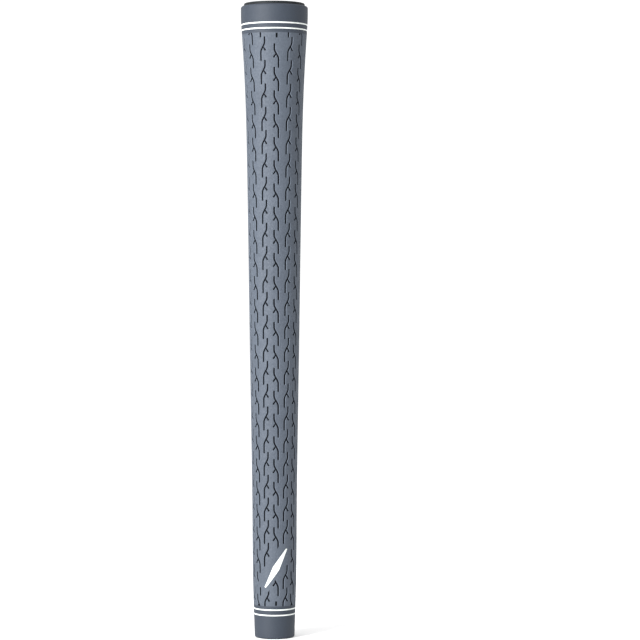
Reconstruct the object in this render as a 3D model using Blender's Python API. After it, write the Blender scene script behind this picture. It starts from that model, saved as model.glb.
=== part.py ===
"""Slip-on golf grip: tapered rubber sleeve, butt cap, paint-filled rings and alignment marks.

Metres, +Z up along the shaft's axis. The origin is the centre of the mouth face, where the shaft
enters, and the cap closes the wide end at the top. The front of the grip faces -Y.
"""

import math

import bmesh
import bpy
from mathutils import Matrix, Vector

# Length, and the outer diameters from the mouth up to the butt
GRIP_LENGTH = 0.267  # mouth face to the top of the cap's crown
MOUTH_DIAMETER = 0.01684
THROAT_DIAMETER = 0.01847
LOWER_HAND_DIAMETER = 0.01893
MIDDLE_DIAMETER = 0.02118  # halfway between the two hands' stations
UPPER_HAND_DIAMETER = 0.02348
FLARE_DIAMETER = 0.02509
BUTT_DIAMETER = 0.02820

# Where those diameters are taken: heights above the mouth, drops below the crown
THROAT_HEIGHT = 0.027
LOWER_HAND_HEIGHT = 0.060
UPPER_HAND_DROP = 0.057
FLARE_DROP = 0.032
BUTT_DROP = 0.0065

# Edges of the sleeve
MOUTH_EDGE_RADIUS = 0.0008
SHOULDER_RADIUS = 0.0009
SHOULDER_LAND = 0.0001  # flat lip between the shoulder and the crown's seat
BORE_CHAMFER = 0.0004

# Bore, a taper from the mouth to the cap's plug
MOUTH_CORE_DIAMETER = 0.0107
BUTT_CORE_DIAMETER = 0.01524

# Butt cap
CROWN_RISE = 0.0012  # how far the crown stands above the shoulder
CROWN_THICKNESS = 0.0022
CROWN_EDGE_RADIUS = 0.0004
CROWN_RIM_WIDTH = 0.0026
DISH_DEPTH = 0.0005
BOSS_DIAMETER = 0.0080
PLUG_LENGTH = 0.0065
PLUG_CHAMFER = 0.0006
VENT_DIAMETER = 0.0030

# Paint-filled rings: two near the cap and two near the mouth
RING_WIDTH = 0.0007
RING_PITCH = 0.0023
CAP_RING_DROP = 0.0091  # crown to the middle of the upper cap ring
MOUTH_RING_HEIGHT = 0.01005  # mouth to the middle of the lower mouth ring

# Paint-filled lozenge marks: one low on the front, one high on the back
MARK_LENGTH = 0.0185
MARK_WIDTH = 0.0029
MARK_TIP_WIDTH = 0.0006  # the two long tips are cut this blunt
MARK_LEAN = math.radians(29)  # from upright, with the top to the right as seen from its own side
FRONT_MARK_HEIGHT = 0.030
BACK_MARK_DROP = 0.030

# Fits
CAP_CLEARANCE = 0.0003  # cap to sleeve
PAINT_THICKNESS = 0.0004
PAINT_CLEARANCE = 0.0002  # paint fill to the walls and floor of its recess

# Fineness of the turned shapes
SEGMENTS = 60
BODY_STEPS = 22
ARC_STEPS = 4
CREASE_ANGLE = math.radians(35)

# Sizes that follow from those above
SHOULDER_HEIGHT = GRIP_LENGTH - CROWN_RISE
BUTT_HEIGHT = GRIP_LENGTH - BUTT_DROP
RECESS_DEPTH = PAINT_THICKNESS + PAINT_CLEARANCE
CROWN_RADIUS = BUTT_DIAMETER / 2 - SHOULDER_RADIUS - SHOULDER_LAND - CAP_CLEARANCE
CROWN_SEAT_RADIUS = CROWN_RADIUS + CAP_CLEARANCE
CROWN_UNDERSIDE = GRIP_LENGTH - CROWN_THICKNESS
CROWN_SEAT_HEIGHT = CROWN_UNDERSIDE - CAP_CLEARANCE
SOCKET_RADIUS = BUTT_CORE_DIAMETER / 2
PLUG_RADIUS = SOCKET_RADIUS - CAP_CLEARANCE
PLUG_END = CROWN_UNDERSIDE - PLUG_LENGTH


def profile_stations():
    """(height, diameter) pairs of the outer shape, from the mouth up."""
    lower_hand = LOWER_HAND_HEIGHT
    upper_hand = GRIP_LENGTH - UPPER_HAND_DROP
    return [
        (0.0, MOUTH_DIAMETER),
        (THROAT_HEIGHT, THROAT_DIAMETER),
        (lower_hand, LOWER_HAND_DIAMETER),
        ((lower_hand + upper_hand) / 2, MIDDLE_DIAMETER),
        (upper_hand, UPPER_HAND_DIAMETER),
        (GRIP_LENGTH - FLARE_DROP, FLARE_DIAMETER),
        (BUTT_HEIGHT, BUTT_DIAMETER),
    ]


def outer_radius(height):
    """Radius of the sleeve's outside: a smooth curve through the stations, straight above the last."""
    stations = profile_stations()
    if height >= stations[-1][0]:
        return stations[-1][1] / 2
    last = len(stations) - 1
    index = max(i for i in range(last) if stations[i][0] <= height)

    def slope(i):
        low = stations[max(i - 1, 0)]
        high = stations[min(i + 1, last)]
        return (high[1] - low[1]) / (high[0] - low[0])

    low_height, low_diameter = stations[index]
    high_height, high_diameter = stations[index + 1]
    span = high_height - low_height
    t = (height - low_height) / span
    diameter = (2 * t**3 - 3 * t**2 + 1) * low_diameter
    diameter += (t**3 - 2 * t**2 + t) * span * slope(index)
    diameter += (3 * t**2 - 2 * t**3) * high_diameter
    diameter += (t**3 - t**2) * span * slope(index + 1)
    return diameter / 2


def arc(centre_radius, centre_height, radius, start, end):
    """Points of a circular arc in the turned outline, between two angles in degrees."""
    points = []
    for step in range(ARC_STEPS + 1):
        angle = math.radians(start + (end - start) * step / ARC_STEPS)
        points.append((centre_radius + radius * math.cos(angle), centre_height + radius * math.sin(angle)))
    return points


def body_heights():
    """Heights from the mouth's edge to the shoulder, shared by sleeve and marks: even, and the butt's own."""
    low = MOUTH_EDGE_RADIUS
    high = SHOULDER_HEIGHT - SHOULDER_RADIUS
    heights = [low + (high - low) * step / BODY_STEPS for step in range(BODY_STEPS + 1)]
    return sorted(heights + [BUTT_HEIGHT])


def ring_heights():
    """Name and middle height of each paint ring, from the top down."""
    upper_cap_ring = GRIP_LENGTH - CAP_RING_DROP
    return {
        "cap_ring_upper": upper_cap_ring,
        "cap_ring_lower": upper_cap_ring - RING_PITCH,
        "mouth_ring_upper": MOUTH_RING_HEIGHT + RING_PITCH,
        "mouth_ring_lower": MOUTH_RING_HEIGHT,
    }


def surface_with_grooves():
    """The sleeve's outer side from the shoulder down to the mouth's edge, with the four ring grooves."""
    half = RING_WIDTH / 2 + PAINT_CLEARANCE
    grooves = [(middle - half, middle + half) for middle in ring_heights().values()]
    points = []
    for height in body_heights():
        if not any(low - half < height < high + half for low, high in grooves):
            points.append((outer_radius(height), height))
    for low, high in grooves:
        floor = outer_radius((low + high) / 2) - RECESS_DEPTH
        points += [(outer_radius(high), high), (floor, high), (floor, low), (outer_radius(low), low)]
    points.sort(key=lambda point: -point[1])
    return points


def turned_mesh(name, outline):
    """A body of revolution about Z from a closed outline of (radius, height) points."""
    bm = bmesh.new()
    verts = [bm.verts.new((radius, 0.0, height)) for radius, height in outline]
    edges = [bm.edges.new((verts[i - 1], verts[i])) for i in range(len(verts))]
    bmesh.ops.spin(
        bm,
        geom=verts + edges,
        cent=(0, 0, 0),
        axis=(0, 0, 1),
        angle=math.tau,
        steps=SEGMENTS,
        use_merge=True,
    )
    bmesh.ops.recalc_face_normals(bm, faces=bm.faces)
    mesh = bpy.data.meshes.new(name)
    bm.to_mesh(mesh)
    bm.free()
    mesh.shade_smooth()
    mesh.set_sharp_from_angle(angle=CREASE_ANGLE)
    return mesh


def add_object(name, mesh):
    obj = bpy.data.objects.new(name, mesh)
    bpy.context.scene.collection.objects.link(obj)
    return obj


def add_cutter(name, mesh):
    cutter = add_object(name, mesh)
    cutter.hide_render = True
    cutter.display_type = "WIRE"
    return cutter


def add_boolean(obj, operation, other):
    boolean = obj.modifiers.new(operation.title(), "BOOLEAN")
    boolean.operation = operation
    boolean.solver = "EXACT"
    boolean.object = other


def linear(channel):
    return channel / 12.92 if channel <= 0.04045 else ((channel + 0.055) / 1.055) ** 2.4


def set_material(obj, hex_colour, roughness):
    """One Principled material for the object, from an sRGB hex colour."""
    material = bpy.data.materials.new(obj.name + "_finish")
    material.use_nodes = True
    shader = material.node_tree.nodes["Principled BSDF"]
    channels = [int(hex_colour[i : i + 2], 16) / 255 for i in (0, 2, 4)]
    shader.inputs["Base Color"].default_value = [linear(channel) for channel in channels] + [1.0]
    shader.inputs["Roughness"].default_value = roughness
    shader.inputs["Metallic"].default_value = 0.0
    obj.data.materials.append(material)


def make_sleeve():
    """The tapered tube: shoulder, grooved outside, mouth, bore, plug socket and crown seat."""
    butt_radius = BUTT_DIAMETER / 2
    shoulder_start = SHOULDER_HEIGHT - SHOULDER_RADIUS
    shoulder = arc(butt_radius - SHOULDER_RADIUS, shoulder_start, SHOULDER_RADIUS, 90, 0)
    edge_height = MOUTH_EDGE_RADIUS
    mouth_centre = outer_radius(edge_height) - MOUTH_EDGE_RADIUS
    mouth_edge = arc(mouth_centre, edge_height, MOUTH_EDGE_RADIUS, 0, -90)
    mouth_bore = MOUTH_CORE_DIAMETER / 2
    outline = [(CROWN_SEAT_RADIUS, SHOULDER_HEIGHT)]
    outline += shoulder
    outline += surface_with_grooves()[1:-1]
    outline += mouth_edge
    outline += [(mouth_bore + BORE_CHAMFER, 0.0), (mouth_bore, BORE_CHAMFER)]
    outline += [(SOCKET_RADIUS, PLUG_END - CAP_CLEARANCE), (SOCKET_RADIUS, CROWN_SEAT_HEIGHT)]
    outline += [(CROWN_SEAT_RADIUS, CROWN_SEAT_HEIGHT)]
    sleeve = add_object("grip_sleeve", turned_mesh("grip_sleeve", outline))
    set_material(sleeve, "6F7985", 0.62)
    return sleeve


def make_cap():
    """The cap: rounded crown with a shallow dish round a flat boss, plug and vent hole."""
    vent = VENT_DIAMETER / 2
    boss = BOSS_DIAMETER / 2
    dish = CROWN_RADIUS - CROWN_RIM_WIDTH
    dish_floor = GRIP_LENGTH - DISH_DEPTH
    edge_centre = GRIP_LENGTH - CROWN_EDGE_RADIUS
    outline = [(dish + DISH_DEPTH, GRIP_LENGTH)]
    outline += arc(CROWN_RADIUS - CROWN_EDGE_RADIUS, edge_centre, CROWN_EDGE_RADIUS, 90, 0)
    outline += [(CROWN_RADIUS, CROWN_UNDERSIDE), (PLUG_RADIUS, CROWN_UNDERSIDE)]
    outline += [(PLUG_RADIUS, PLUG_END + PLUG_CHAMFER), (PLUG_RADIUS - PLUG_CHAMFER, PLUG_END)]
    outline += [(vent, PLUG_END), (vent, GRIP_LENGTH)]
    outline += [(boss, GRIP_LENGTH), (boss + DISH_DEPTH, dish_floor), (dish, dish_floor)]
    cap = add_object("butt_cap", turned_mesh("butt_cap", outline))
    set_material(cap, "3A3F45", 0.5)


def make_ring(name, middle):
    """One band of paint, flush with the sleeve and clear of its groove's walls and floor."""
    top = middle + RING_WIDTH / 2
    bottom = middle - RING_WIDTH / 2
    inner = outer_radius(middle) - PAINT_THICKNESS
    outline = [(outer_radius(top), top), (outer_radius(bottom), bottom), (inner, bottom), (inner, top)]
    ring = add_object(name, turned_mesh(name, outline))
    set_material(ring, "F1F3F3", 0.45)


def lozenge_corners(side):
    """The mark's outline in XZ, anticlockwise: a leaning lozenge with blunt tips.

    It leans to the right as seen from its own side of the grip, so towards +X on the front only.
    """
    half_width = MARK_WIDTH / 2
    tip = MARK_TIP_WIDTH / 2
    top = MARK_LENGTH / 2
    points = [(half_width, 0), (tip, top), (-tip, top), (-half_width, 0), (-tip, -top), (tip, -top)]
    lean = Matrix.Rotation(side * MARK_LEAN, 2)
    return [lean @ Vector(point) for point in points]


def grown(corners, distance):
    """A convex outline, given anticlockwise, with every side moved out by the same distance."""
    result = []
    for index, corner in enumerate(corners):
        before = (corner - corners[index - 1]).normalized()
        after = (corners[(index + 1) % len(corners)] - corner).normalized()
        normals = Vector((before.y + after.y, -before.x - after.x))
        result.append(corner + normals * distance / (1 + before.dot(after)))
    return result


def lozenge_prism(name, middle, side, growth):
    """The mark's outline in XZ, grown by a clearance and drawn out along Y to one side of the axis."""
    corners = grown(lozenge_corners(side), growth)
    bm = bmesh.new()
    face = bm.faces.new([bm.verts.new((x, 0.0, middle + z)) for x, z in corners])
    drawn = bmesh.ops.extrude_face_region(bm, geom=[face])
    far_verts = [item for item in drawn["geom"] if isinstance(item, bmesh.types.BMVert)]
    bmesh.ops.translate(bm, verts=far_verts, vec=(0.0, side * BUTT_DIAMETER, 0.0))
    bmesh.ops.recalc_face_normals(bm, faces=bm.faces)
    mesh = bpy.data.meshes.new(name)
    bm.to_mesh(mesh)
    bm.free()
    return mesh


def skin_mesh(name, middle, depth, rise):
    """A turned skin round one mark, from a depth below the sleeve's surface to a rise above it."""
    reach = MARK_LENGTH
    low = middle - reach
    high = middle + reach
    heights = [low] + [height for height in body_heights() if low < height < high] + [high]
    outside = [(outer_radius(height) + rise, height) for height in reversed(heights)]
    inside = [(outer_radius(height) - depth, height) for height in heights]
    return turned_mesh(name, outside + inside)


def make_mark(name, middle, side, sleeve):
    """A lozenge of paint, flush with the sleeve, in a recess cut a clearance larger and deeper."""
    outline = add_cutter(name + "_outline", lozenge_prism(name + "_outline", middle, side, 0.0))
    mark = add_object(name, skin_mesh(name, middle, PAINT_THICKNESS, 0.0))
    add_boolean(mark, "INTERSECT", outline)
    set_material(mark, "F1F3F3", 0.45)

    recess_outline = lozenge_prism(name + "_recess_outline", middle, side, PAINT_CLEARANCE)
    recess_outline = add_cutter(name + "_recess_outline", recess_outline)
    recess = add_cutter(name + "_recess", skin_mesh(name + "_recess", middle, RECESS_DEPTH, RECESS_DEPTH))
    add_boolean(recess, "INTERSECT", recess_outline)
    add_boolean(sleeve, "DIFFERENCE", recess)


for old in list(bpy.data.objects):
    bpy.data.objects.remove(old, do_unlink=True)

grip_sleeve = make_sleeve()
make_cap()
for ring_name, ring_middle in ring_heights().items():
    make_ring(ring_name, ring_middle)
make_mark("front_mark", FRONT_MARK_HEIGHT, -1, grip_sleeve)
make_mark("back_mark", GRIP_LENGTH - BACK_MARK_DROP, 1, grip_sleeve)
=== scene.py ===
import math

import bmesh
import bpy
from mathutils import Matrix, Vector


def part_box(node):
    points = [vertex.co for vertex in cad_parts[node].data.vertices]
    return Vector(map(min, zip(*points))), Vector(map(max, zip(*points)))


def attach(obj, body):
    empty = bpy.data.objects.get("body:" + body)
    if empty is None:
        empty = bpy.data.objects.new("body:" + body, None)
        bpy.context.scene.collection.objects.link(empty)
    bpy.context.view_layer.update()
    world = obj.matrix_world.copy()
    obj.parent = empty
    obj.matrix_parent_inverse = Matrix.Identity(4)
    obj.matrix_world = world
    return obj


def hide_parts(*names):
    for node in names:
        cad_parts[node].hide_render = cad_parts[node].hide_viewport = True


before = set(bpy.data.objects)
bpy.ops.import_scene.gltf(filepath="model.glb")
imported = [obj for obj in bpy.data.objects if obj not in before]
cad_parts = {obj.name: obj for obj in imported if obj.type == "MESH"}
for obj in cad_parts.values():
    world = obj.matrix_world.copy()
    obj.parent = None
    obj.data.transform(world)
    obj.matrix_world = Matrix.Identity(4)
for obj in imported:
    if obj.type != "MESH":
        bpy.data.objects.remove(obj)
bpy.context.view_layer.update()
mm = 0.001
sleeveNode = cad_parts["grip_sleeve"]
nodeBoxes = {name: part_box(name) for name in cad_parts}
widest, sleeveTop = nodeBoxes["grip_sleeve"][1][0], nodeBoxes["grip_sleeve"][1][2]
crownRadius, crownTop = nodeBoxes["butt_cap"][1][0], nodeBoxes["butt_cap"][1][2]
plugEnd = nodeBoxes["butt_cap"][0][2]
ringNames = ("cap_ring_upper", "cap_ring_lower", "mouth_ring_upper", "mouth_ring_lower")
ringSpans = {name: (nodeBoxes[name][0][2], nodeBoxes[name][1][2]) for name in ringNames}
markSides = {"front_mark": -1, "back_mark": 1}


def hexColour(text):
    # sRGB hex to the linear values that the shaders take
    channels = [int(text[i : i + 2], 16) / 255 for i in (0, 2, 4)]
    linear = [c / 12.92 if c <= 0.04045 else ((c + 0.055) / 1.055) ** 2.4 for c in channels]
    return (*linear, 1.0)


def addNode(tree, kind, inputs=None, **settings):
    # one node, its settings, and its inputs as values or as links from other nodes' sockets
    node = tree.nodes.new(kind)
    for name, value in settings.items():
        setattr(node, name, value)
    for key, value in (inputs or {}).items():
        for item in value if isinstance(value, list) else [value]:
            if isinstance(item, bpy.types.NodeSocket):
                tree.links.new(item, node.inputs[key])
            else:
                node.inputs[key].default_value = item
    return node


def addObject(name, mesh):
    piece = bpy.data.objects.new(name, mesh)
    bpy.context.scene.collection.objects.link(piece)
    return piece


def finishMesh(bm, name, creaseDegrees=35):
    bmesh.ops.recalc_face_normals(bm, faces=bm.faces)
    mesh = bpy.data.meshes.new(name)
    bm.to_mesh(mesh)
    bm.free()
    mesh.shade_smooth()
    mesh.set_sharp_from_angle(angle=math.radians(creaseDegrees))
    return mesh


def turnedMesh(name, outline, segments):
    # a closed outline of (radius, height) points turned about the shaft's axis
    bm = bmesh.new()
    columns = []
    for step in range(segments):
        angle = math.tau * step / segments
        across, along = math.cos(angle), math.sin(angle)
        columns.append([bm.verts.new((r * across, r * along, z)) for r, z in outline])
    for step in range(segments):
        here, there = columns[step], columns[(step + 1) % segments]
        for i in range(len(outline)):
            bm.faces.new((here[i - 1], there[i - 1], there[i], here[i]))
    return finishMesh(bm, name)


def arc(centreRadius, centreHeight, radius, start, end, steps):
    points = []
    for step in range(steps + 1):
        angle = math.radians(start + (end - start) * step / steps)
        points.append((centreRadius + radius * math.cos(angle), centreHeight + radius * math.sin(angle)))
    return points


readingSizes = {
    "knots": 26,  # even heights at which the frame's sleeve is measured
    "ends": (0.8 * mm, 1.0 * mm),  # left off at the mouth and at the shoulder, which are rounded
    "bandShares": (0.35, 0.7),  # of the smooth band above the rings
    "clearOfRings": 1.2 * mm,
    "outside": 40 * mm,  # a place beyond every surface
    "seatProbe": 0.3 * mm,  # inward from the middle of the gap round the cap
    "boreProbe": 0.01 * mm,  # above the chamfer at the mouth
}


def castOn(node, start, direction):
    # where a straight probe first meets a CAD node
    return node.ray_cast(Vector(start), Vector(direction))[1]


def readKnots():
    # the outside's radius at even heights, at the rings' tops and in the band above them
    sizes = readingSizes
    low, high = sizes["ends"][0], sleeveTop - sizes["ends"][1]
    count, clear = sizes["knots"], sizes["clearOfRings"]
    heights = [low + (high - low) * step / count for step in range(count + 1)]
    for bottom, top in ringSpans.values():
        heights = [z for z in heights if not bottom - clear < z < top + clear]
    band = ringSpans["cap_ring_upper"][1]
    heights += [band + (high - band) * share for share in sizes["bandShares"]]
    knots = [(z, castOn(sleeveNode, (sizes["outside"], 0, z), (-1, 0, 0)).x) for z in heights]
    knots += [(ringSpans[name][1], nodeBoxes[name][1][0]) for name in ringNames]
    return sorted(knots)


profileKnots = readKnots()
print("outside measured at", len(profileKnots), "heights")


def outerRadius(height):
    # a smooth curve through the measured radii: cubic between two knots, with shared slopes
    last = len(profileKnots) - 1
    index = 0
    while index < last - 1 and profileKnots[index + 1][0] <= height:
        index += 1
    slopes = []
    for i in (index, index + 1):
        low, high = profileKnots[max(i - 1, 0)], profileKnots[min(i + 1, last)]
        slopes.append((high[1] - low[1]) / (high[0] - low[0]))
    (lowHeight, lowRadius), (highHeight, highRadius) = profileKnots[index], profileKnots[index + 1]
    span = highHeight - lowHeight
    t = min(max((height - lowHeight) / span, 0.0), 1.0)
    radius = (2 * t**3 - 3 * t**2 + 1) * lowRadius + (t**3 - 2 * t**2 + t) * span * slopes[0]
    radius += (3 * t**2 - 2 * t**3) * highRadius + (t**3 - t**2) * span * slopes[1]
    return min(radius, widest)


middleSpan = (0.35, 0.65)  # where most of a noise texture's values lie
bumpShare = 0.6  # a noise texture's single bumps are about this share of its scale

# Moulded rubber straight from a blasted mould: dull and fine grained, darker where the mould was smooth
rubberLook = {
    "textured": "454C56",
    "smooth": "282F39",
    "lipHighlightColour": "525A65",  # painted highlight: the grooves' lips are painted paler, standing in for the light their slopes catch
    "cloud": "3D444E",
    "cloudSize": 14 * mm,  # slow unevenness of the compound's colour
    "fleckSize": 0.8 * mm,
    "fleckShare": 0.5,  # how much of the unevenness is flecks
    "unevenSpan": (0.36, 0.64),
    "dullSpan": (0.3, 0.7),
    "bandEdge": 0.12 * mm,  # how softly the texture ends
    "grainSize": 0.42 * mm,  # the real grain is about 0.1 mm, drawn coarser so that it shows
    "grainHeight": 0.13 * mm,
    "smoothGrain": 0.5,  # share of the grain left on the smooth bands
    "roughness": (0.58, 0.72),
    "smoothRoughness": 0.64,
    "partingWidth": 0.16 * mm,  # the mould's two halves met along both sides
    "partingHeight": 0.04 * mm,
    "specularLevel": 0.36,  # fine pits hold back the sheen that flat rubber has
}
# Painted shade for the branch grooves: their deep faces get this near-black blue, standing in for the shade
# inside the narrow grooves
grooveShadeLook = {
    "colour": "0B0F15",
    "paleShade": "12171E",
    "patchSize": 3 * mm,
    "roughness": 0.7,
    "specularLevel": 0.15,
}
# Harder compound of the cap, moulded in a fine blasted tool: a dark compound, painted darker still to near
# black as painted shade for the dark rim along the top of the butt, with hardly any sheen
capLook = {
    "colour": "131517",
    "wearAndHighlight": "202326",
    "wornSpan": (0.4, 0.7),
    "patchSize": 6 * mm,
    "patchDetail": 4.0,
    "specularLevel": 0.15,
    "roughness": (0.5, 0.66),
    "roughFrom": "patch",
    "grainDetail": 2.0,
    "grainSize": 0.45 * mm,  # real grain about 0.1 mm, drawn coarser so that it shows
    "grainHeight": 0.01 * mm,
}
# Flexible enamel wiped into the mould's marks: white and satin, faintly uneven where it was wiped
paintLook = {
    "colour": "D2D6D4",
    "wearAndHighlight": "C3C9C6",
    "wornSpan": (0.45, 0.75),
    "patchSize": 2.2 * mm,
    "patchDetail": 3.0,
    "specularLevel": 0.5,
    "roughness": (0.36, 0.5),
    "roughFrom": "grain",
    "grainDetail": 1.0,
    "grainSize": 1.2 * mm,
    "grainHeight": 0.01 * mm,
}
texturedHeights = (13.9 * mm, crownTop - 13.2 * mm)  # the textured stretch, between the two pairs of rings


def startMaterial(name):
    material = bpy.data.materials.new(name)
    material.use_nodes = True
    tree = material.node_tree
    place = addNode(tree, "ShaderNodeTexCoord").outputs["Object"]
    return material, tree, tree.nodes["Principled BSDF"], place


def makeRubber():
    look = rubberLook
    material, tree, shader, place = startMaterial("Blasted moulded rubber, slate blue")
    axes = addNode(tree, "ShaderNodeSeparateXYZ", {0: place}).outputs
    low, high = texturedHeights
    soft = look["bandEdge"]
    above = addNode(tree, "ShaderNodeMapRange", {0: axes["Z"], 1: low - soft, 2: low + soft})
    below = addNode(tree, "ShaderNodeMapRange", {0: axes["Z"], 1: high + soft, 2: high - soft})
    textured = addNode(
        tree, "ShaderNodeMath", {0: above.outputs[0], 1: below.outputs[0]}, operation="MULTIPLY"
    )
    textured = textured.outputs[0]
    cloud = addNode(
        tree, "ShaderNodeTexNoise", {"Vector": place, "Scale": 1 / look["cloudSize"], "Detail": 3.0}
    )
    fleck = addNode(
        tree, "ShaderNodeTexNoise", {"Vector": place, "Scale": 1 / look["fleckSize"], "Detail": 2.0}
    )
    grain = addNode(
        tree, "ShaderNodeTexNoise", {"Vector": place, "Scale": bumpShare / look["grainSize"], "Detail": 3.0}
    )
    blotch = addNode(
        tree, "ShaderNodeMix", {0: look["fleckShare"], 2: cloud.outputs[0], 3: fleck.outputs[0]}
    )
    low, high = look["unevenSpan"]
    unevenness = addNode(tree, "ShaderNodeMapRange", {0: blotch.outputs[0], 1: low, 2: high})
    uneven = addNode(
        tree,
        "ShaderNodeMix",
        {0: unevenness.outputs[0], 6: hexColour(look["textured"]), 7: hexColour(look["cloud"])},
        data_type="RGBA",
    )
    # the grooves' lips are painted paler: a painted highlight for the light their slopes catch
    lipLightFactor = addNode(tree, "ShaderNodeAttribute", attribute_name="lipWear")
    edged = addNode(
        tree,
        "ShaderNodeMix",
        {0: lipLightFactor.outputs["Fac"], 6: uneven.outputs[2], 7: hexColour(look["lipHighlightColour"])},
        data_type="RGBA",
    )
    tone = addNode(
        tree,
        "ShaderNodeMix",
        {0: textured, 6: hexColour(look["smooth"]), 7: edged.outputs[2]},
        data_type="RGBA",
    )
    tree.links.new(tone.outputs[2], shader.inputs["Base Color"])
    lowRough, highRough = look["roughness"]
    low, high = look["dullSpan"]
    dull = addNode(
        tree, "ShaderNodeMapRange", {0: fleck.outputs[0], 1: low, 2: high, 3: lowRough, 4: highRough}
    )
    rough = addNode(tree, "ShaderNodeMix", {0: textured, 2: look["smoothRoughness"], 3: dull.outputs[0]})
    tree.links.new(rough.outputs[0], shader.inputs["Roughness"])
    share = addNode(tree, "ShaderNodeMapRange", {0: textured, 3: look["smoothGrain"], 4: 1.0})
    relief = addNode(
        tree, "ShaderNodeMath", {0: grain.outputs[0], 1: share.outputs[0]}, operation="MULTIPLY"
    )
    grained = addNode(
        tree,
        "ShaderNodeBump",
        {"Height": relief.outputs[0], "Distance": look["grainHeight"], "Strength": 1.0},
    )
    side = addNode(tree, "ShaderNodeMath", {0: axes["Y"]}, operation="ABSOLUTE")
    parting = addNode(
        tree,
        "ShaderNodeMapRange",
        {0: side.outputs[0], 1: 0.0, 2: look["partingWidth"], 3: 1.0, 4: 0.0},
        interpolation_type="SMOOTHSTEP",
    )
    lined = addNode(
        tree,
        "ShaderNodeBump",
        {"Height": parting.outputs[0], "Distance": look["partingHeight"], "Normal": grained.outputs[0]},
    )
    tree.links.new(lined.outputs[0], shader.inputs["Normal"])
    shader.inputs["Specular IOR Level"].default_value = look["specularLevel"]
    return material


def makeGrooveShade():
    look = grooveShadeLook
    material, tree, shader, place = startMaterial("Painted groove shade, blue black")
    # the painted groove shade, in patches of two near-black tones
    patch = addNode(
        tree, "ShaderNodeTexNoise", {"Vector": place, "Scale": 1 / look["patchSize"], "Detail": 2.0}
    )
    tone = addNode(
        tree,
        "ShaderNodeMix",
        {0: patch.outputs[0], 6: hexColour(look["colour"]), 7: hexColour(look["paleShade"])},
        data_type="RGBA",
    )
    tree.links.new(tone.outputs[2], shader.inputs["Base Color"])
    shader.inputs["Roughness"].default_value = look["roughness"]
    shader.inputs["Specular IOR Level"].default_value = look["specularLevel"]
    return material


def makeSatin(title, look):
    # for the cap and the paint: patches of a second tone, over a finer unevenness
    material, tree, shader, place = startMaterial(title)
    noise = {}
    for part, scale in (("patch", 1 / look["patchSize"]), ("grain", bumpShare / look["grainSize"])):
        inputs = {"Vector": place, "Scale": scale, "Detail": look[part + "Detail"]}
        noise[part] = addNode(tree, "ShaderNodeTexNoise", inputs).outputs[0]
    low, high = look["wornSpan"]
    wearAndHighlight = addNode(tree, "ShaderNodeMapRange", {0: noise["patch"], 1: low, 2: high})
    tone = addNode(
        tree,
        "ShaderNodeMix",
        {0: wearAndHighlight.outputs[0], 6: hexColour(look["colour"]), 7: hexColour(look["wearAndHighlight"])},
        data_type="RGBA",
    )
    tree.links.new(tone.outputs[2], shader.inputs["Base Color"])
    low, high = middleSpan
    lowRough, highRough = look["roughness"]
    uneven = noise[look["roughFrom"]]
    dull = addNode(tree, "ShaderNodeMapRange", {0: uneven, 1: low, 2: high, 3: lowRough, 4: highRough})
    tree.links.new(dull.outputs[0], shader.inputs["Roughness"])
    bump = addNode(tree, "ShaderNodeBump", {"Height": noise["grain"], "Distance": look["grainHeight"]})
    tree.links.new(bump.outputs[0], shader.inputs["Normal"])
    shader.inputs["Specular IOR Level"].default_value = look["specularLevel"]
    return material


rubber, grooveShade = makeRubber(), makeGrooveShade()
capRubber = makeSatin("Satin moulded rubber, charcoal", capLook)
paint = makeSatin("Wiped flexible enamel, white", paintLook)
print("materials ready")


ringPaint = {
    "width": 0.54 * mm,  # the fill stands off the mould mark's rounded edges
    "thickness": 0.36 * mm,
    "dome": 0.04 * mm,
    "halfSteps": 4,  # points from the middle of the band to its edge
}
sleeveSizes = {
    "segments": 168,
    "rows": 96,
    "shoulderRadius": 0.9 * mm,
    "shoulderSteps": 10,
    "lipWidth": 0.1 * mm,  # flat between the shoulder and the cap's seat
    "capGap": 0.1 * mm,
    "seatBreak": (0.02 * mm, 0.15 * mm),  # how the lip's inner edge is broken, across and down
    "plugRoom": 0.3 * mm,  # below the cap's plug
    "mouthEdge": 0.8 * mm,
    "mouthSteps": 7,
    "boreChamfer": 0.4 * mm,
    "ringGap": 0.03 * mm,  # hairline between the paint and its groove
    "ringDepth": 0.42 * mm,
    "ringDraft": 1e-4 * mm,  # keeps a groove's walls and its edges at heights of their own
    "ringLand": 0.6 * mm,  # a row of points this far from each side of a groove
    "ringClear": 1.0 * mm,  # and no other nearer than this
    "creaseDegrees": 30,
    "merge": 0.002 * mm,  # the cuts leave some corners nearer to each other than this
}


def ringGrooves():
    half = ringPaint["width"] / 2 + sleeveSizes["ringGap"]
    return [((low + high) / 2 - half, (low + high) / 2 + half) for low, high in ringSpans.values()]


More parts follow.
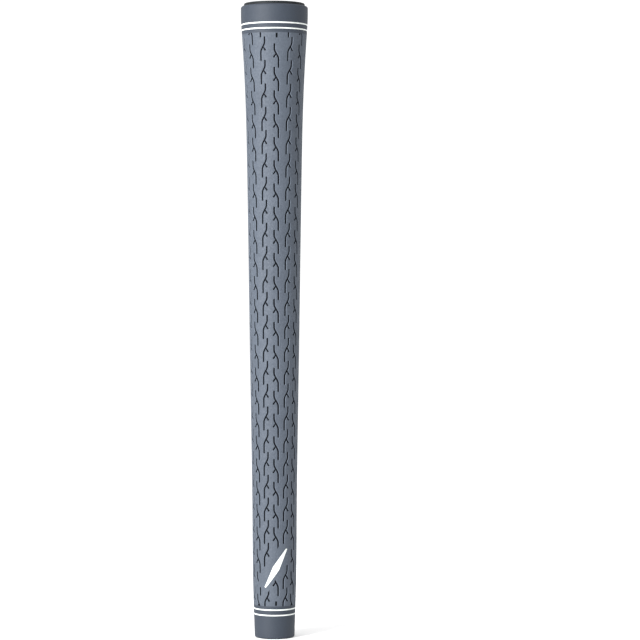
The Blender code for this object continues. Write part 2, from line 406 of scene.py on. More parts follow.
def blankOutline():
    # the sleeve before its branch grooves are cut: shoulder, outside, mouth edge, bore, plug socket, seat
    sizes = sleeveSizes
    buttRadius = outerRadius(sleeveTop - sizes["shoulderRadius"])
    seat = buttRadius - sizes["shoulderRadius"] - sizes["lipWidth"]
    ledge = (crownRadius + seat) / 2 - readingSizes["seatProbe"]
    seatHeight = castOn(sleeveNode, (ledge, 0, 2 * sleeveTop), (0, 0, -1)).z
    socket = castOn(sleeveNode, (0, 0, (plugEnd + seatHeight) / 2), (1, 0, 0)).x
    mouthBore = castOn(sleeveNode, (0, 0, sizes["boreChamfer"] + readingSizes["boreProbe"]), (1, 0, 0)).x
    edge, draft, clear = sizes["mouthEdge"], sizes["ringDraft"], sizes["ringClear"]
    low, high = edge, sleeveTop - sizes["shoulderRadius"]
    heights = [low + (high - low) * step / sizes["rows"] for step in range(1, sizes["rows"])]
    side = []
    for bottom, top in ringGrooves():
        heights = [z for z in heights if not bottom - clear < z < top + clear]
        floor = outerRadius((bottom + top) / 2) - sizes["ringDepth"]
        side += [(outerRadius(top), top), (floor, top - draft)]
        side += [(floor, bottom + draft), (outerRadius(bottom), bottom)]
        side += [(outerRadius(z), z) for z in (top + sizes["ringLand"], bottom - sizes["ringLand"])]
    side += [(outerRadius(z), z) for z in heights]
    side.sort(key=lambda point: -point[1])
    shoulder, wall = sizes["shoulderRadius"], crownRadius + sizes["capGap"]
    outline = [(seat + sizes["seatBreak"][0], sleeveTop)]
    outline += arc(buttRadius - shoulder, high, shoulder, 90, 0, sizes["shoulderSteps"])
    outline += side
    outline += arc(outerRadius(edge) - edge, edge, edge, 0, -90, sizes["mouthSteps"])
    outline += [(mouthBore + sizes["boreChamfer"], 0.0), (mouthBore, sizes["boreChamfer"])]
    outline += [(socket, plugEnd - sizes["plugRoom"]), (socket, seatHeight), (wall, seatHeight)]
    outline += [(wall, sleeveTop - sizes["seatBreak"][1])]
    return outline


markSizes = {
    "length": 18.5 * mm,
    "width": 2.9 * mm,
    "lean": 29,  # degrees from upright, top to the right as seen from its own side
    "halfTip": 0.3 * mm,  # the tips are cut this blunt
    "thickness": 0.3 * mm,
    "recessDepth": 0.34 * mm,
    "recessGap": 0.03 * mm,
    "recessRise": 0.3 * mm,  # its cutter stands this far above the surface
    "clearing": (1.0 * mm, 1.3 * mm),  # uncut rubber past the tips and past the sides
    "clearingDepth": 0.72 * mm,
    "clearingShift": 0.75 * mm,  # towards the upper side of the lean
    "clearingSteps": (16, 6),
    "dome": 0.03 * mm,  # the paint sags this much towards its edges
}


def lozengeBlock(name, markName, grow, halfTip, deep, proud, dome=0.0, shift=0.0, steps=(40, 12)):
    # a leaning lozenge that follows the outside, from a depth below it to a height above it
    low, high = (Vector(corner) for corner in nodeBoxes[markName])
    middle = (low.z + high.z) / 2
    halfLength = markSizes["length"] / 2 + grow[0]
    halfWidth = markSizes["width"] / 2 + grow[1]
    leanSine, leanCosine = (wave(math.radians(markSizes["lean"])) for wave in (math.sin, math.cos))
    side = markSides[markName]
    rows, columns = steps
    bm = bmesh.new()
    layers = {}
    for row in range(rows + 1):
        along = -1 + 2 * row / rows
        width = halfTip + (halfWidth - halfTip) * (1 - abs(along))
        for column in range(columns + 1):
            across = -1 + 2 * column / columns
            fromAxis = width * across - shift
            x = -side * (fromAxis * leanCosine + halfLength * along * leanSine)
            z = middle - fromAxis * leanSine + halfLength * along * leanCosine
            fall = dome * max(abs(across), abs(along)) ** 4
            for layer, offset in (("top", proud - fall), ("floor", -deep)):
                radius = outerRadius(z) + offset
                y = side * math.sqrt(radius * radius - x * x)
                layers[layer, row, column] = bm.verts.new((x, y, z))
    for row in range(rows):
        for column in range(columns):
            for layer in ("top", "floor"):
                corners = [(row, column), (row, column + 1), (row + 1, column + 1), (row + 1, column)]
                bm.faces.new([layers[layer, r, c] for r, c in corners])
    rim = [(0, c) for c in range(columns)] + [(r, columns) for r in range(rows)]
    rim += [(rows, c) for c in range(columns, 0, -1)] + [(r, 0) for r in range(rows, 0, -1)]
    for index, here in enumerate(rim):
        before = rim[index - 1]
        corners = [("top", before), ("top", here), ("floor", here), ("floor", before)]
        bm.faces.new([layers[layer, *spot] for layer, spot in corners])
    return addObject(name, finishMesh(bm, name))


def crossSection(sizes):
    # the cutter across a groove: x outward from the surface, y across; a sloped lip over a narrow slot
    lip, neck, foot = sizes["lipHalf"], sizes["neckHalf"], sizes["floorHalf"]
    slope = (lip - neck) / sizes["lipDepth"]
    over = sizes["rise"]
    half = [(over, lip + slope * over), (-sizes["lipDepth"], neck), (-sizes["depth"], foot)]
    points = half + [(x, -y) for x, y in reversed(half)]
    curve = bpy.data.curves.new("groove cross section", "CURVE")
    curve.dimensions = "3D"
    spline = curve.splines.new("POLY")
    spline.points.add(len(points) - 1)
    for point, (x, y) in zip(spline.points, points):
        point.co = (x, y, 0.0, 1.0)
    spline.use_cyclic_u = True
    return addObject("groove cross section", curve)


tickSizes = {
    "width": 0.8 * mm,
    "length": 1.9 * mm,
    "inset": 0.3 * mm,  # from the end of the textured stretch
    "depth": 0.6 * mm,
}


def tickBars():
    # the short cuts that end the centre lines of the front and the back, for lining the grip up
    sizes = tickSizes
    low, high = texturedHeights
    reach = sizes["inset"] + sizes["length"] / 2
    bm = bmesh.new()
    for side in markSides.values():
        for middle in (low + reach, high - reach):
            bar = bmesh.ops.create_cube(bm, size=1.0)["verts"]
            bmesh.ops.scale(bm, vec=(sizes["width"], 2 * sizes["depth"], sizes["length"]), verts=bar)
            bmesh.ops.translate(bm, vec=(0.0, side * outerRadius(middle), middle), verts=bar)
    return addObject("ticks", finishMesh(bm, "ticks"))


branchSizes = {
    "Columns": 14,
    "Rows": 26,
    "Mould Half Columns": 7,  # each half of the mould carries its own seven columns
    "Top Start": crownTop - 17.8 * mm,
    "Row Pitch": 9.712 * mm,
    "Pitch Change": 0.0048 * mm,
    "Lean Lift": 2.9 * mm,  # columns that lean the other way start this much higher
    "Stroke Length": 10.15 * mm,
    "Stroke Points": 14,
    "Straight": 2.2 * mm,
    "Bend": 4.4 * mm,
    "Drift": 1.78 * mm,
    "End Taper": 0.3 * mm,
    "Twig Start": (0.74 * mm, 0.0, -4.18 * mm),
    "Twig End": (-0.34 * mm, 0.0, -5.85 * mm),
    "Twig Root": 0.7,  # widths as shares of the stroke's
    "Twig Head": 1.05,
    "Lip Start": 0.02 * mm,
    # faces deeper than this in the grooves get the painted groove shade
    "GrooveShade Depth": 0.15 * mm,
    "Mark Reach": 2.4 * mm,  # a branch whose middle lies this near a mark's own line is left out
    "Mark Lean": math.radians(markSizes["lean"]),
    "Mark Half Length": markSizes["length"] / 2,
}
grooveSizes = {
    "lipHalf": 0.5 * mm,
    "neckHalf": 0.34 * mm,
    "floorHalf": 0.25 * mm,
    "lipDepth": 0.13 * mm,
    "depth": 0.66 * mm,
    "rise": 0.1 * mm,  # the cutter stands this far above the surface
    "taperFrom": 0.47,  # of the stroke's length from its middle
    "taperWidth": 0.6,
    "swellBy": 0.7,  # share of the twig's length at which it is fully swollen
    "twigPoints": 4,
    "grooveShadeReach": 1.0 * mm,  # faces deeper than this belong to the bore
    "grooveShadeMargin": 0.1 * mm,  # past both ends of the textured stretch
}


markPlaces = ("Angle", "Height", "Radius")  # what the tree is told of each mark's middle


def buildBranchTree():
    tree = bpy.data.node_groups.new("Branch grooves", "GeometryNodeTree")
    kinds = [("Blank", "Geometry")]
    kinds += [(name, "Object") for name in ("Cross Section", "Zone", "Front Clearing", "Back Clearing")]
    kinds += [(name, "Object") for name in ("Front Recess", "Back Recess", "Ticks")]
    kinds += [(side + " Mark " + what, "Float") for side in ("Front", "Back") for what in markPlaces]
    for name, value in branchSizes.items():
        kinds.append((name, {tuple: "Vector", int: "Int", float: "Float"}[type(value)]))
    kinds += [("Rubber", "Material"), ("Skin", "Material")]
    keys = {}
    for name, kind in kinds:
        socket = tree.interface.new_socket(name, in_out="INPUT", socket_type="NodeSocket" + kind)
        keys[name] = socket.identifier
    tree.interface.new_socket("Geometry", in_out="OUTPUT", socket_type="NodeSocketGeometry")
    given = addNode(tree, "NodeGroupInput").outputs
    solids = {}
    for name, kind in kinds:
        if kind == "Object":
            info = addNode(
                tree, "GeometryNodeObjectInfo", {"Object": given[name]}, transform_space="RELATIVE"
            )
            solids[name] = info.outputs["Geometry"]

    # one stroke, laid flat: outward is -Y, it runs down from the origin and drifts sideways
    bendSteps = addNode(
        tree, "ShaderNodeMath", {0: given["Stroke Points"], 1: 5.0}, operation="SUBTRACT"
    ).outputs[0]
    step = addNode(tree, "ShaderNodeMath", {0: given["Bend"], 1: bendSteps}, operation="DIVIDE").outputs[0]
    twoSteps = addNode(tree, "ShaderNodeMath", {0: step, 1: 2.0}, operation="MULTIPLY").outputs[0]
    bendEnd = addNode(tree, "ShaderNodeMath", {0: given["Straight"], 1: given["Bend"]}).outputs[0]
    lineTop = addNode(
        tree, "ShaderNodeMath", {0: twoSteps, 1: given["Straight"]}, operation="SUBTRACT"
    ).outputs[0]
    lineFoot = addNode(tree, "ShaderNodeMath", {0: bendEnd, 1: twoSteps}).outputs[0]
    lineFoot = addNode(tree, "ShaderNodeMath", {0: lineFoot, 1: -1.0}, operation="MULTIPLY").outputs[0]
    lineTop = addNode(tree, "ShaderNodeCombineXYZ", {"Z": lineTop}).outputs[0]
    lineFoot = addNode(tree, "ShaderNodeCombineXYZ", {"Z": lineFoot}).outputs[0]
    line = addNode(tree, "GeometryNodeCurvePrimitiveLine", {"Start": lineTop, "End": lineFoot})
    fine = addNode(
        tree, "GeometryNodeResampleCurve", {"Curve": line.outputs[0], "Count": given["Stroke Points"]}
    )

    # most of its points sit in the bend; the first and last two make the straight ends and their tapers
    number = addNode(tree, "GeometryNodeInputIndex").outputs[0]
    fromStart = addNode(
        tree, "ShaderNodeMath", {0: number, 1: given["End Taper"]}, operation="MULTIPLY"
    ).outputs[0]
    left = addNode(
        tree, "ShaderNodeMath", {0: given["Stroke Points"], 1: 1.0}, operation="SUBTRACT"
    ).outputs[0]
    left = addNode(tree, "ShaderNodeMath", {0: left, 1: number}, operation="SUBTRACT").outputs[0]
    fromEnd = addNode(
        tree, "ShaderNodeMath", {0: left, 1: given["End Taper"]}, operation="MULTIPLY"
    ).outputs[0]
    fromEnd = addNode(
        tree, "ShaderNodeMath", {0: given["Stroke Length"], 1: fromEnd}, operation="SUBTRACT"
    ).outputs[0]
    shaped = fine.outputs[0]
    for fall, counts in ((fromStart, (2, 0)), (fromEnd, (0, 2))):
        ends = addNode(
            tree, "GeometryNodeCurveEndpointSelection", {"Start Size": counts[0], "End Size": counts[1]}
        )
        depth = addNode(tree, "ShaderNodeMath", {0: fall, 1: -1.0}, operation="MULTIPLY").outputs[0]
        place = addNode(tree, "ShaderNodeCombineXYZ", {"Z": depth}).outputs[0]
        shaped = addNode(
            tree,
            "GeometryNodeSetPosition",
            {"Geometry": shaped, "Selection": ends.outputs[0], "Position": place},
        ).outputs[0]
    height = addNode(
        tree, "ShaderNodeSeparateXYZ", {0: addNode(tree, "GeometryNodeInputPosition").outputs[0]}
    ).outputs["Z"]
    fallen = addNode(tree, "ShaderNodeMath", {0: height, 1: -1.0}, operation="MULTIPLY").outputs[0]
    drift = addNode(
        tree,
        "ShaderNodeMapRange",
        {"Value": fallen, 1: given["Straight"], 2: bendEnd, 3: 0.0, 4: given["Drift"]},
        interpolation_type="SMOOTHSTEP",
    )
    sideways = addNode(tree, "ShaderNodeCombineXYZ", {"X": drift.outputs[0]})
    bent = addNode(tree, "GeometryNodeSetPosition", {"Geometry": shaped, "Offset": sideways.outputs[0]})
    twigPoints = grooveSizes["twigPoints"]
    twigLine = addNode(
        tree, "GeometryNodeCurvePrimitiveLine", {"Start": given["Twig Start"], "End": given["Twig End"]}
    )
    twigFine = addNode(
        tree, "GeometryNodeResampleCurve", {"Curve": twigLine.outputs[0], "Count": twigPoints}
    )

    # both get the cross section: the stroke narrows at its ends, and the twig swells towards its own
    share = addNode(tree, "GeometryNodeSplineParameter").outputs["Factor"]
    offCentre = addNode(tree, "ShaderNodeMath", {0: share, 1: 0.5}, operation="SUBTRACT").outputs[0]
    offCentre = addNode(tree, "ShaderNodeMath", {0: offCentre}, operation="ABSOLUTE").outputs[0]
    taperFrom, taperWidth = grooveSizes["taperFrom"], grooveSizes["taperWidth"]
    taper = addNode(
        tree, "ShaderNodeMapRange", {"Value": offCentre, 1: taperFrom, 2: 0.5, 3: 1.0, 4: taperWidth}
    ).outputs[0]
    swelling = addNode(
        tree,
        "ShaderNodeMapRange",
        {"Value": share, 1: 0.0, 2: grooveSizes["swellBy"], 3: given["Twig Root"], 4: given["Twig Head"]},
    ).outputs[0]
    cutters = []
    for curve, scale in ((bent.outputs[0], taper), (twigFine.outputs[0], swelling)):
        faced = addNode(
            tree, "GeometryNodeSetCurveNormal", {"Curve": curve, "Normal": (0, -1, 0)}, mode="FREE"
        )
        cutters.append(
            addNode(
                tree,
                "GeometryNodeCurveToMesh",
                {
                    "Curve": faced.outputs[0],
                    "Profile Curve": solids["Cross Section"],
                    "Scale": scale,
                    "Fill Caps": True,
                },
            ).outputs[0]
        )
    branch = addNode(
        tree, "GeometryNodeMeshBoolean", {"Mesh": cutters}, operation="UNION", solver="MANIFOLD"
    )
    halfDrift = addNode(tree, "ShaderNodeMath", {0: given["Drift"], 1: -0.5}, operation="MULTIPLY")
    centring = addNode(tree, "ShaderNodeCombineXYZ", {"X": halfDrift.outputs[0]})
    branch = addNode(
        tree,
        "GeometryNodeTransform",
        {"Geometry": branch.outputs["Mesh"], "Translation": centring.outputs[0]},
    )
    mirrored = addNode(tree, "GeometryNodeTransform", {"Geometry": branch.outputs[0], "Scale": (-1, 1, 1)})
    mirrored = addNode(tree, "GeometryNodeFlipFaces", {"Mesh": mirrored.outputs[0]})
    leanings = addNode(
        tree, "GeometryNodeGeometryToInstance", {0: [mirrored.outputs[0], branch.outputs[0]]}
    )

    # one point for each branch: column by column, each column's points run down
    count = addNode(tree, "ShaderNodeMath", {0: given["Columns"], 1: given["Rows"]}, operation="MULTIPLY")
    column = addNode(tree, "ShaderNodeMath", {0: number, 1: given["Rows"]}, operation="DIVIDE").outputs[0]
    column = addNode(tree, "ShaderNodeMath", {0: column}, operation="FLOOR").outputs[0]
    row = addNode(
        tree, "ShaderNodeMath", {0: number, 1: given["Rows"]}, operation="FLOORED_MODULO"
    ).outputs[0]
    row = addNode(tree, "ShaderNodeMath", {0: row, 1: 1.0}, operation="SUBTRACT").outputs[0]
    halfWay = addNode(
        tree, "ShaderNodeMath", {0: given["Mould Half Columns"], 1: 1.0}, operation="SUBTRACT"
    ).outputs[0]
    halfWay = addNode(tree, "ShaderNodeMath", {0: halfWay, 1: 0.5}, operation="MULTIPLY").outputs[0]
    local = addNode(tree, "ShaderNodeMath", {0: column, 1: halfWay}).outputs[0]
    local = addNode(
        tree, "ShaderNodeMath", {0: local, 1: given["Mould Half Columns"]}, operation="FLOORED_MODULO"
    ).outputs[0]
    local = addNode(tree, "ShaderNodeMath", {0: local, 1: halfWay}, operation="SUBTRACT").outputs[0]
    leaning = addNode(tree, "ShaderNodeMath", {0: local, 1: 2.0}, operation="FLOORED_MODULO").outputs[0]
    turn = addNode(
        tree, "ShaderNodeMath", {0: math.tau, 1: given["Columns"]}, operation="DIVIDE"
    ).outputs[0]
    columnAngle = addNode(tree, "ShaderNodeMath", {0: column, 1: turn}, operation="MULTIPLY").outputs[0]
    rowSquare = addNode(tree, "ShaderNodeMath", {0: row, 1: row}, operation="MULTIPLY").outputs[0]
    drop = addNode(tree, "ShaderNodeMath", {0: row, 1: given["Row Pitch"]}, operation="MULTIPLY").outputs[0]
    change = addNode(tree, "ShaderNodeMath", {0: rowSquare, 1: given["Pitch Change"]}, operation="MULTIPLY")
    drop = addNode(tree, "ShaderNodeMath", {0: drop, 1: change.outputs[0]}, operation="SUBTRACT").outputs[0]
    lift = addNode(
        tree, "ShaderNodeMath", {0: leaning, 1: given["Lean Lift"]}, operation="MULTIPLY"
    ).outputs[0]
    start = addNode(
        tree, "ShaderNodeMath", {0: given["Top Start"], 1: drop}, operation="SUBTRACT"
    ).outputs[0]
    start = addNode(tree, "ShaderNodeMath", {0: start, 1: lift}).outputs[0]
    place = addNode(tree, "ShaderNodeCombineXYZ", {"Z": start})
    points = addNode(tree, "GeometryNodePoints", {"Count": count.outputs[0], "Position": place.outputs[0]})
    marked = addNode(
        tree,
        "GeometryNodeStoreNamedAttribute",
        {"Geometry": points.outputs[0], "Name": "columnAngle", "Value": columnAngle},
        data_type="FLOAT",
        domain="POINT",
    )
    marked = addNode(
        tree,
        "GeometryNodeStoreNamedAttribute",
        {"Geometry": marked.outputs[0], "Name": "leaning", "Value": leaning},
        data_type="FLOAT",
        domain="POINT",
    )

    # left out: a branch whose middle lies under a mark, and in the two centre lines one that an end would cut
    low, high = texturedHeights
    halfStroke = addNode(
        tree, "ShaderNodeMath", {0: given["Stroke Length"], 1: 0.5}, operation="MULTIPLY"
    ).outputs[0]
    middle = addNode(tree, "ShaderNodeMath", {0: start, 1: halfStroke}, operation="SUBTRACT").outputs[0]
    foot = addNode(tree, "ShaderNodeMath", {0: middle, 1: halfStroke}, operation="SUBTRACT").outputs[0]
    pastTop = addNode(tree, "ShaderNodeMath", {0: start, 1: high}, operation="GREATER_THAN").outputs[0]
    pastFoot = addNode(tree, "ShaderNodeMath", {0: foot, 1: low}, operation="LESS_THAN").outputs[0]
    cutShort = addNode(tree, "ShaderNodeMath", {0: pastTop, 1: pastFoot}, operation="MAXIMUM").outputs[0]
    centred = addNode(tree, "ShaderNodeMath", {0: local, 1: 0.0, 2: 0.5}, operation="COMPARE").outputs[0]
    leftOut = addNode(tree, "ShaderNodeMath", {0: cutShort, 1: centred}, operation="MULTIPLY").outputs[0]
    leanSine = addNode(tree, "ShaderNodeMath", {0: given["Mark Lean"]}, operation="SINE").outputs[0]
    leanCosine = addNode(tree, "ShaderNodeMath", {0: given["Mark Lean"]}, operation="COSINE").outputs[0]
    for side in ("Front", "Back"):
        markAngle, markHeight, markRadius = (given[side + " Mark " + what] for what in markPlaces)
        swing = addNode(
            tree, "ShaderNodeMath", {0: columnAngle, 1: markAngle}, operation="SUBTRACT"
        ).outputs[0]
        swing = addNode(
            tree, "ShaderNodeMath", {0: swing, 1: math.pi, 2: -math.pi}, operation="WRAP"
        ).outputs[0]
        right = addNode(tree, "ShaderNodeMath", {0: swing, 1: markRadius}, operation="MULTIPLY").outputs[0]
        up = addNode(tree, "ShaderNodeMath", {0: middle, 1: markHeight}, operation="SUBTRACT").outputs[0]
        offset = addNode(tree, "ShaderNodeCombineXYZ", {"X": right, "Y": up}).outputs[0]
        lineWay = addNode(tree, "ShaderNodeCombineXYZ", {"X": leanSine, "Y": leanCosine}).outputs[0]
        along = addNode(
            tree, "ShaderNodeVectorMath", {0: offset, 1: lineWay}, operation="DOT_PRODUCT"
        ).outputs["Value"]
        across = addNode(
            tree, "ShaderNodeVectorMath", {0: offset, 1: lineWay}, operation="CROSS_PRODUCT"
        ).outputs[0]
        across = addNode(tree, "ShaderNodeVectorMath", {0: across}, operation="LENGTH").outputs["Value"]
        along = addNode(tree, "ShaderNodeMath", {0: along}, operation="ABSOLUTE").outputs[0]
        near = addNode(
            tree, "ShaderNodeMath", {0: across, 1: given["Mark Reach"]}, operation="LESS_THAN"
        ).outputs[0]
        beside = addNode(
            tree, "ShaderNodeMath", {0: along, 1: given["Mark Half Length"]}, operation="LESS_THAN"
        ).outputs[0]
        under = addNode(tree, "ShaderNodeMath", {0: near, 1: beside}, operation="MULTIPLY").outputs[0]
        leftOut = addNode(tree, "ShaderNodeMath", {0: leftOut, 1: under}, operation="MAXIMUM").outputs[0]
    kept = addNode(
        tree, "GeometryNodeDeleteGeometry", {"Geometry": marked.outputs[0], "Selection": leftOut}
    )
    whichWay = addNode(
        tree, "GeometryNodeInputNamedAttribute", {"Name": "leaning"}, data_type="FLOAT"
    ).outputs[0]
    placed = addNode(
        tree,
        "GeometryNodeInstanceOnPoints",
        {
            "Points": kept.outputs[0],
            "Instance": leanings.outputs[0],
            "Pick Instance": True,
            "Instance Index": whichWay,
        },
    )
    flat = addNode(tree, "GeometryNodeRealizeInstances", {"Geometry": placed.outputs[0]})

    # a probe from the front finds the blank's radius at each height
    spot = addNode(
        tree, "ShaderNodeSeparateXYZ", {0: addNode(tree, "GeometryNodeInputPosition").outputs[0]}
    )
    fromFront = addNode(
        tree, "ShaderNodeCombineXYZ", {"Y": -readingSizes["outside"], "Z": spot.outputs["Z"]}
    )
    probe = addNode(
        tree,
        "GeometryNodeRaycast",
        {
            "Target Geometry": given["Blank"],
            "Source Position": fromFront.outputs[0],
            "Ray Direction": (0, 1, 0),
            "Ray Length": readingSizes["outside"],
        },
    )
    met = addNode(tree, "ShaderNodeSeparateXYZ", {0: probe.outputs["Hit Position"]})
    girth = addNode(tree, "ShaderNodeMath", {0: met.outputs["Y"], 1: -1.0}, operation="MULTIPLY").outputs[0]

    # the flat branches are wrapped round that radius
    ownAngle = addNode(tree, "GeometryNodeInputNamedAttribute", {"Name": "columnAngle"}, data_type="FLOAT")
    along = addNode(tree, "ShaderNodeMath", {0: spot.outputs["X"], 1: girth}, operation="DIVIDE").outputs[0]
    angle = addNode(tree, "ShaderNodeMath", {0: ownAngle.outputs[0], 1: along}).outputs[0]
    radius = addNode(
        tree, "ShaderNodeMath", {0: girth, 1: spot.outputs["Y"]}, operation="SUBTRACT"
    ).outputs[0]
    sine = addNode(tree, "ShaderNodeMath", {0: angle}, operation="SINE").outputs[0]
    cosine = addNode(tree, "ShaderNodeMath", {0: angle}, operation="COSINE").outputs[0]
    roundX = addNode(tree, "ShaderNodeMath", {0: radius, 1: sine}, operation="MULTIPLY").outputs[0]
    roundY = addNode(tree, "ShaderNodeMath", {0: radius, 1: cosine}, operation="MULTIPLY").outputs[0]
    roundY = addNode(tree, "ShaderNodeMath", {0: roundY, 1: -1.0}, operation="MULTIPLY").outputs[0]
    wrapped = addNode(tree, "ShaderNodeCombineXYZ", {"X": roundX, "Y": roundY, "Z": spot.outputs["Z"]})
    cutter = addNode(
        tree, "GeometryNodeSetPosition", {"Geometry": flat.outputs[0], "Position": wrapped.outputs[0]}
    )

    # kept inside the textured stretch and off the marks, then cut from the blank
    zone = addNode(
        tree,
        "GeometryNodeMeshBoolean",
        {"Mesh 1": solids["Zone"], "Mesh 2": [solids["Front Clearing"], solids["Back Clearing"]]},
        operation="DIFFERENCE",
        solver="MANIFOLD",
    )
    trimmed = addNode(
        tree,
        "GeometryNodeMeshBoolean",
        {"Mesh": [cutter.outputs[0], zone.outputs["Mesh"]]},
        operation="INTERSECT",
        solver="MANIFOLD",
    )
    cutters = [trimmed.outputs["Mesh"], *(solids[name] for name in ("Front Recess", "Back Recess", "Ticks"))]
    cut = addNode(
        tree,
        "GeometryNodeMeshBoolean",
        {"Mesh 1": given["Blank"], "Mesh 2": cutters},
        operation="DIFFERENCE",
        solver="MANIFOLD",
    )
    whole = addNode(tree, "GeometryNodeRealizeInstances", {"Geometry": cut.outputs["Mesh"]})
    # how deep each face lies: those deeper than the shade depth, within the textured stretch, get the painted
    # groove shade
    flatSpot = addNode(tree, "ShaderNodeCombineXYZ", {"X": spot.outputs["X"], "Y": spot.outputs["Y"]})
    distance = addNode(
        tree, "ShaderNodeVectorMath", {0: flatSpot.outputs[0]}, operation="LENGTH"
    ).outputs["Value"]
    depth = addNode(tree, "ShaderNodeMath", {0: girth, 1: distance}, operation="SUBTRACT").outputs[0]
    deep = addNode(
        tree, "ShaderNodeMath", {0: depth, 1: given["GrooveShade Depth"]}, operation="GREATER_THAN"
    ).outputs[0]
    reach, margin = grooveSizes["grooveShadeReach"], grooveSizes["grooveShadeMargin"]
    inWall = addNode(tree, "ShaderNodeMath", {0: depth, 1: reach}, operation="LESS_THAN").outputs[0]
    above = addNode(
        tree, "ShaderNodeMath", {0: spot.outputs["Z"], 1: low - margin}, operation="GREATER_THAN"
    )
    below = addNode(tree, "ShaderNodeMath", {0: spot.outputs["Z"], 1: high + margin}, operation="LESS_THAN")
    inside = addNode(
        tree, "ShaderNodeMath", {0: above.outputs[0], 1: below.outputs[0]}, operation="MULTIPLY"
    )
    chosen = addNode(tree, "ShaderNodeMath", {0: deep, 1: inWall}, operation="MULTIPLY").outputs[0]
    chosen = addNode(
        tree, "ShaderNodeMath", {0: chosen, 1: inside.outputs[0]}, operation="MULTIPLY"
    ).outputs[0]
    # faces just under the surface along the grooves are marked for the painted lip highlight
    lip = addNode(
        tree, "ShaderNodeMath", {0: depth, 1: given["Lip Start"]}, operation="GREATER_THAN"
    ).outputs[0]
    lip = addNode(tree, "ShaderNodeMath", {0: lip, 1: inside.outputs[0]}, operation="MULTIPLY").outputs[0]
    wearAndHighlight = addNode(
        tree,
        "GeometryNodeStoreNamedAttribute",
        {"Geometry": whole.outputs[0], "Name": "lipWear", "Value": lip},
        data_type="FLOAT",
        domain="FACE",
    )
    finish = addNode(
        tree, "GeometryNodeSetMaterial", {"Geometry": wearAndHighlight.outputs[0], "Material": given["Rubber"]}
    )
    finish = addNode(
        tree,
        "GeometryNodeSetMaterial",
        {"Geometry": finish.outputs[0], "Selection": chosen, "Material": given["Skin"]},
    )
    addNode(tree, "NodeGroupOutput", {"Geometry": finish.outputs[0]})
    return tree, keys


zoneSizes = {"radii": (5 * mm, 20 * mm), "segments": 48}  # a ring round the textured stretch


def makeSleeve():
    sizes = markSizes
    blank = addObject("sleeve blank", turnedMesh("sleeve blank", blankOutline(), sleeveSizes["segments"]))
    low, high = texturedHeights
    inner, outer = zoneSizes["radii"]
    ringOutline = [(inner, high), (outer, high), (outer, low), (inner, low)]
    helpers = {
        "Cross Section": crossSection(grooveSizes),
        "Zone": addObject("zone", turnedMesh("zone", ringOutline, zoneSizes["segments"])),
        "Ticks": tickBars(),
    }
    places = {}
    for label, markName, angle in (("Front", "front_mark", 0.0), ("Back", "back_mark", math.pi)):
        height = (nodeBoxes[markName][0][2] + nodeBoxes[markName][1][2]) / 2
        for what, value in zip(markPlaces, (angle, height, outerRadius(height))):
            places[label + " Mark " + what] = value
        helpers[label + " Clearing"] = lozengeBlock(
            label + " clearing",
            markName,
            sizes["clearing"],
            sizes["width"] / 2 + sizes["clearing"][1],
            sizes["clearingDepth"],
            sizes["clearingDepth"],
            shift=sizes["clearingShift"],
            steps=sizes["clearingSteps"],
        )
        helpers[label + " Recess"] = lozengeBlock(
            label + " recess",
            markName,
            (2 * sizes["recessGap"], sizes["recessGap"]),
            sizes["halfTip"] + sizes["recessGap"],
            sizes["recessDepth"],
            sizes["recessRise"],
        )
    blank.data.materials.append(rubber)
    tree, keys = buildBranchTree()
    modifier = blank.modifiers.new("Branch grooves", "NODES")
    modifier.node_group = tree
    values = {**branchSizes, **places, **helpers, "Rubber": rubber, "Skin": grooveShade}
    for name, value in values.items():
        modifier[keys[name]] = value
    graph = bpy.context.evaluated_depsgraph_get()
    mesh = bpy.data.meshes.new_from_object(blank.evaluated_get(graph), depsgraph=graph)
    bm = bmesh.new()
    bm.from_mesh(mesh)
    bmesh.ops.remove_doubles(bm, verts=bm.verts, dist=sleeveSizes["merge"])
    bmesh.ops.triangulate(bm, faces=bm.faces)
    bm.to_mesh(mesh)
    bm.free()
    mesh.shade_smooth()
    mesh.set_sharp_from_angle(angle=math.radians(sleeveSizes["creaseDegrees"]))
    for helper in [blank, *helpers.values()]:
        bpy.data.objects.remove(helper, do_unlink=True)
    sleeve = addObject("sleeveMoulding", mesh)
    print("sleeve cut:", len(mesh.polygons), "faces")
    return sleeve


sleeve = makeSleeve()


def makeRing(name):
    # a band of paint, slightly domed between its two edges
    low, high = ringSpans[name]
    middle, half = (low + high) / 2, ringPaint["width"] / 2
    outline = []
    halfSteps = ringPaint["halfSteps"]
    for step in range(2 * halfSteps + 1):
        share = 1 - step / halfSteps
        z = middle + half * share
        outline.append((outerRadius(z) - ringPaint["dome"] * share**4, z))
    inner = outerRadius(middle) - ringPaint["thickness"]
    outline += [(inner, middle - half), (inner, middle + half)]
    ring = addObject("paint_" + name, turnedMesh(name, outline, sleeveSizes["segments"]))
    ring.data.materials.append(paint)
    return ring


def makeMark(name):
    sizes = markSizes
    mark = lozengeBlock(
        "paint_" + name,
        name,
        (0.0, 0.0),
        sizes["halfTip"],
        sizes["thickness"],
        0.0,
        sizes["dome"],
    )
    mark.data.materials.append(paint)
    return mark


capSizes = {
    "segments": 128,
    "edgeRadius": 0.5 * mm,
    "edgeSteps": 8,
    "thickness": 2.2 * mm,
    "rimWidth": 2.6 * mm,
    "dishDepth": 0.5 * mm,
    "bossRadius": 4.0 * mm,
    "ventRadius": 1.5 * mm,
    "plugRadius": 7.32 * mm,
    "plugChamfer": 0.6 * mm,
    "softEdge": 0.15 * mm,  # every moulded edge is broken this much
    "softSteps": 4,
}


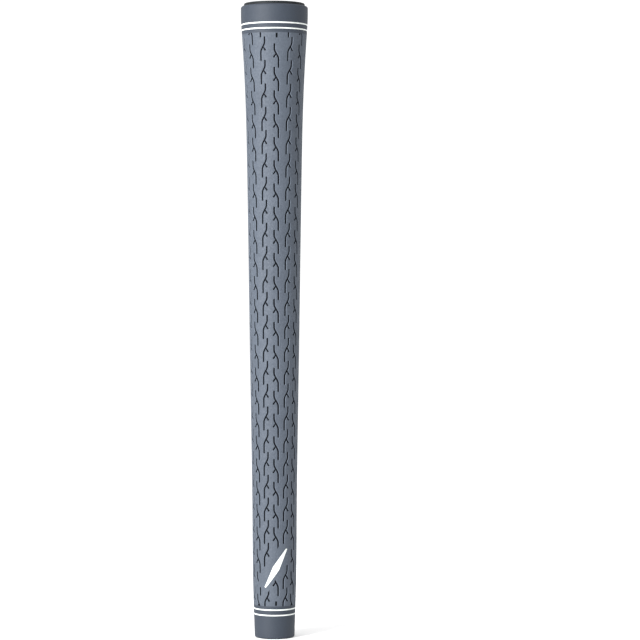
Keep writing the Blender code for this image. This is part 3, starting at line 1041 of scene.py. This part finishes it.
def makeCap():
    sizes = capSizes
    edge, soft, depth = sizes["edgeRadius"], sizes["softEdge"], sizes["dishDepth"]
    steps = sizes["softSteps"]
    vent, boss, plug = sizes["ventRadius"], sizes["bossRadius"], sizes["plugRadius"]
    dish = crownRadius - sizes["rimWidth"]
    floor = crownTop - depth
    underside = crownTop - sizes["thickness"]
    outline = arc(crownRadius - edge, crownTop - edge, edge, 90, 0, sizes["edgeSteps"])
    outline += [(crownRadius, underside), (plug, underside), (plug, plugEnd + sizes["plugChamfer"])]
    outline += [(plug - sizes["plugChamfer"], plugEnd), (vent, plugEnd)]
    outline += arc(vent + soft, crownTop - soft, soft, 180, 90, steps)
    outline += arc(boss - soft, crownTop - soft, soft, 90, 30, steps)
    outline += [(boss + depth - soft, floor + soft / 2), (boss + depth + soft, floor)]
    outline += [(dish - soft, floor), (dish + soft, floor + soft / 2)]
    outline += arc(dish + depth + soft, crownTop - soft, soft, 150, 90, steps)
    cap = addObject("capMoulding", turnedMesh("butt cap moulding", outline, sizes["segments"]))
    cap.data.materials.append(capRubber)
    return cap


rings = {name: makeRing(name) for name in ringNames}
marks = {name: makeMark(name) for name in markSides}
cap = makeCap()
print("rings, marks and cap made")

# The studio: a pale floor, white surroundings, one broad softbox and a soft overhead
stageLook = {
    "floorSize": 12.0,
    "floor": "F4F4F4",
    "floorRoughness": 0.9,
    "floorSpecularLevel": 0.1,
    "surround": (1.0, 1.0, 1.0, 1.0),
    "surroundStrength": 1.12,
    "keySide": -43.0,  # degrees to the left of the camera's own direction
    "keyDistance": 1.5,
    "keyHeight": 0.58,
    "keySize": (0.45, 1.1),
    "keyPower": 50.0,
    "topHeight": 1.6,
    "topSize": 1.4,
    "topPower": 2.0,
    "topAim": (0.0, 0.001, 0.0),  # a hair off straight down, which settles how the square is turned
}
cameraLook = {
    "lens": 136.4,
    "distance": 1.023,
    "side": -4.0,  # degrees round from the front
    "height": 0.156,
    "aimHeight": 0.1339,
    "aimRight": 0.0192,
    "clipStart": 0.01,
}


def aimed(item, place, target):
    item.location = place
    item.rotation_euler = (Vector(target) - Vector(place)).to_track_quat("-Z", "Y").to_euler()
    return item


def addLight(name, place, target, size, power):
    light = bpy.data.lights.new(name, "AREA")
    light.shape = "RECTANGLE"
    light.size, light.size_y = size
    light.energy = power
    return aimed(addObject(name, light), place, target)


def makeStage():
    look = stageLook
    half = look["floorSize"] / 2
    bm = bmesh.new()
    corners = ((-half, -half), (half, -half), (half, half), (-half, half))
    bm.faces.new([bm.verts.new((x, y, 0.0)) for x, y in corners])
    floor = addObject("Studio floor", finishMesh(bm, "studio floor"))
    material, _, shader, _ = startMaterial("Matt painted floor")
    shader.inputs["Base Color"].default_value = hexColour(look["floor"])
    shader.inputs["Roughness"].default_value = look["floorRoughness"]
    shader.inputs["Specular IOR Level"].default_value = look["floorSpecularLevel"]
    floor.data.materials.append(material)
    world = bpy.data.worlds.new("White surround")
    world.use_nodes = True
    background = world.node_tree.nodes["Background"]
    background.inputs["Color"].default_value = look["surround"]
    background.inputs["Strength"].default_value = look["surroundStrength"]
    bpy.context.scene.world = world
    turn = math.radians(look["keySide"] + cameraLook["side"])
    reach = look["keyDistance"]
    middle = (0.0, 0.0, crownTop / 2)
    key = (reach * math.sin(turn), -reach * math.cos(turn), look["keyHeight"])
    addLight("Key softbox", key, middle, look["keySize"], look["keyPower"])
    overhead, topSize = (0.0, 0.0, look["topHeight"]), (look["topSize"], look["topSize"])
    addLight("Overhead softbox", overhead, look["topAim"], topSize, look["topPower"])


def makeCamera():
    look = cameraLook
    turn = math.radians(look["side"])
    place = (look["distance"] * math.sin(turn), -look["distance"] * math.cos(turn), look["height"])
    target = (look["aimRight"] * math.cos(turn), look["aimRight"] * math.sin(turn), look["aimHeight"])
    camera = addObject("Camera", bpy.data.cameras.new("Camera"))
    camera.data.lens = look["lens"]
    camera.data.clip_start = look["clipStart"]
    bpy.context.scene.camera = aimed(camera, place, target)


makeStage()
makeCamera()
bpy.context.scene.view_settings.view_transform = "Standard"
print("stage, lights and camera set")

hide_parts("grip_sleeve")
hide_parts("butt_cap")
for name, ring in rings.items():
    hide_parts(name)
for name, mark in marks.items():
    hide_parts(name)
for piece in (sleeve, cap, *rings.values(), *marks.values()):
    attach(piece, "root")
